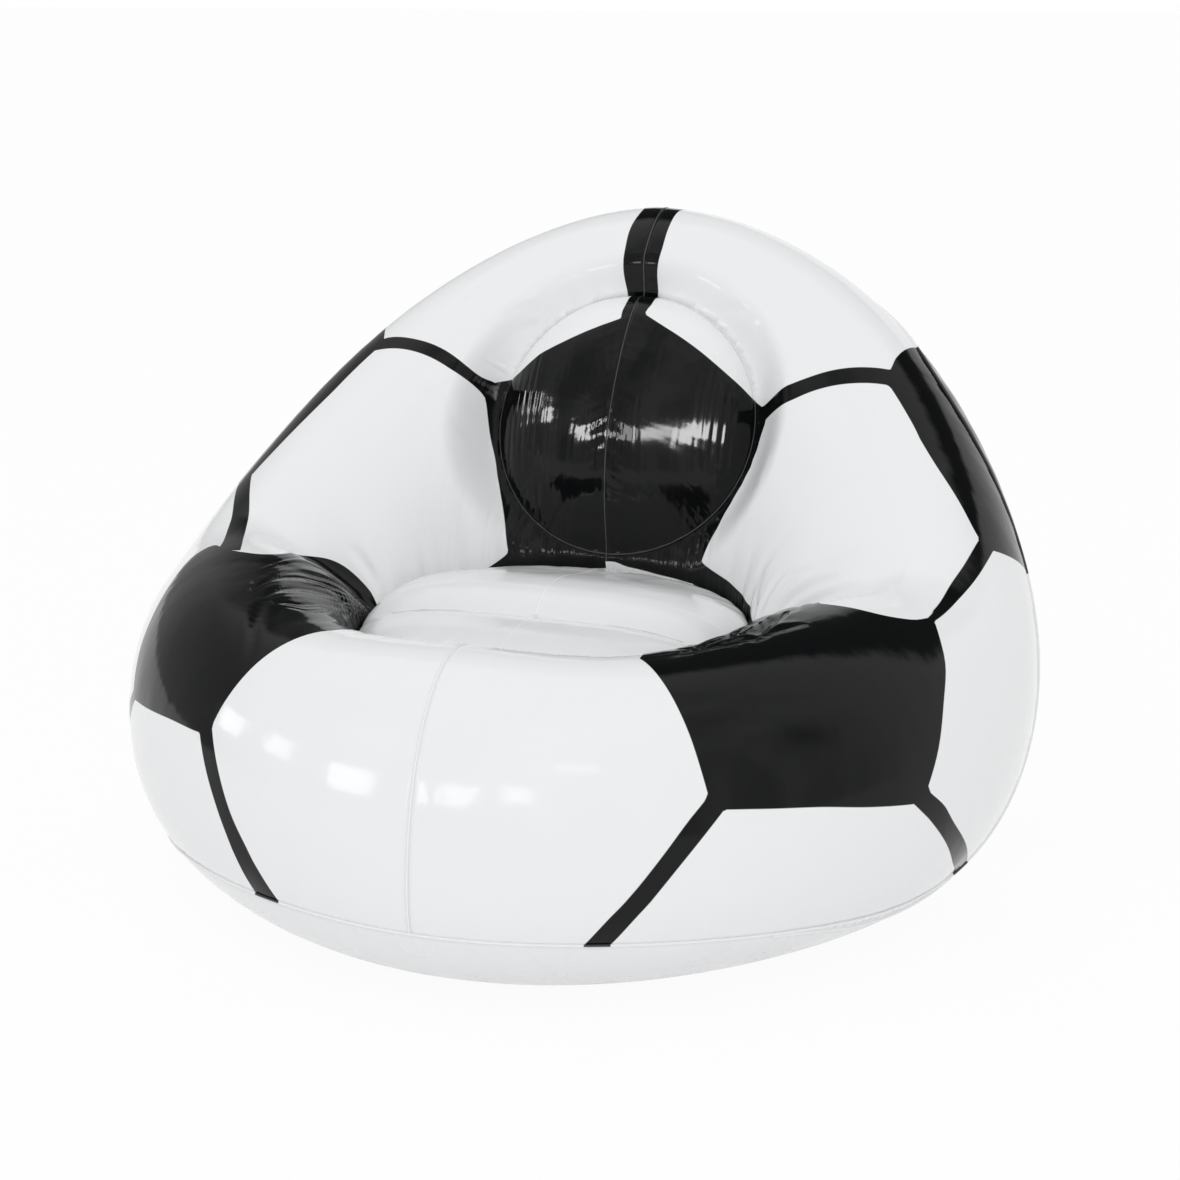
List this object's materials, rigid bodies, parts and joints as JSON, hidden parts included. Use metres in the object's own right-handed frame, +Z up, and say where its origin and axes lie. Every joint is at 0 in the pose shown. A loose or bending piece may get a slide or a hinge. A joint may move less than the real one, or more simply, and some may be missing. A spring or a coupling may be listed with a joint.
{
  "type": "inflatable armchair",
  "caption": "Inflatable tub armchair welded from glossy film panels, with a bucket seat, a round headrest bulge, a ball-panel print and a valve low on the back.",
  "frame": {"origin": "on the floor, below the middle of the chair's bounding box", "axes": "+Z up, -Y the way the sitter faces, +X to the right of someone who looks at the front"},
  "size_m": [1.0994, 1.0815, 0.7488],
  "materials": {
    "printed_film": "glossy film, white with a black ball-panel print",
    "plain_film": "glossy white film",
    "web_film": "plain inner film",
    "valve_vinyl": "soft moulded vinyl"
  },
  "bodies": {
    "chair": {"front_skin_right": "printed_film", "front_skin_left": "printed_film", "rear_skin_right": "printed_film", "rear_skin_left": "printed_film", "seat_cover_right": "plain_film", "seat_cover_left": "plain_film", "base_panel": "plain_film", "seat_well_web": "web_film", "seat_baffle_web": "web_film", "headrest_web": "web_film", "valve_base": "valve_vinyl", "stopper_tether": "valve_vinyl"},
    "stopper": {"valve_stopper": "valve_vinyl", "cap_tether": "valve_vinyl"},
    "cap": {"valve_cap": "valve_vinyl"},
    "flap": {"check_flap": "web_film"}
  },
  "joints": [
    {"name": "stopper_pull", "type": "slide", "parent": "chair", "child": "stopper", "axis": [0.4226, 0.9063, 0], "range_m": [0, 0.02], "deforming": ["stopper_tether"]},
    {"name": "cap_pull", "type": "slide", "parent": "stopper", "child": "cap", "axis": [0.4226, 0.9063, 0], "range_m": [0, 0.015], "deforming": ["cap_tether"]},
    {"name": "flap_hinge", "type": "hinge", "parent": "stopper", "child": "flap", "pos_m": [0.21893, 0.46949, 0.2705], "axis": [-0.9063, 0.4226, 0], "range_deg": [0, 60]}
  ]
}
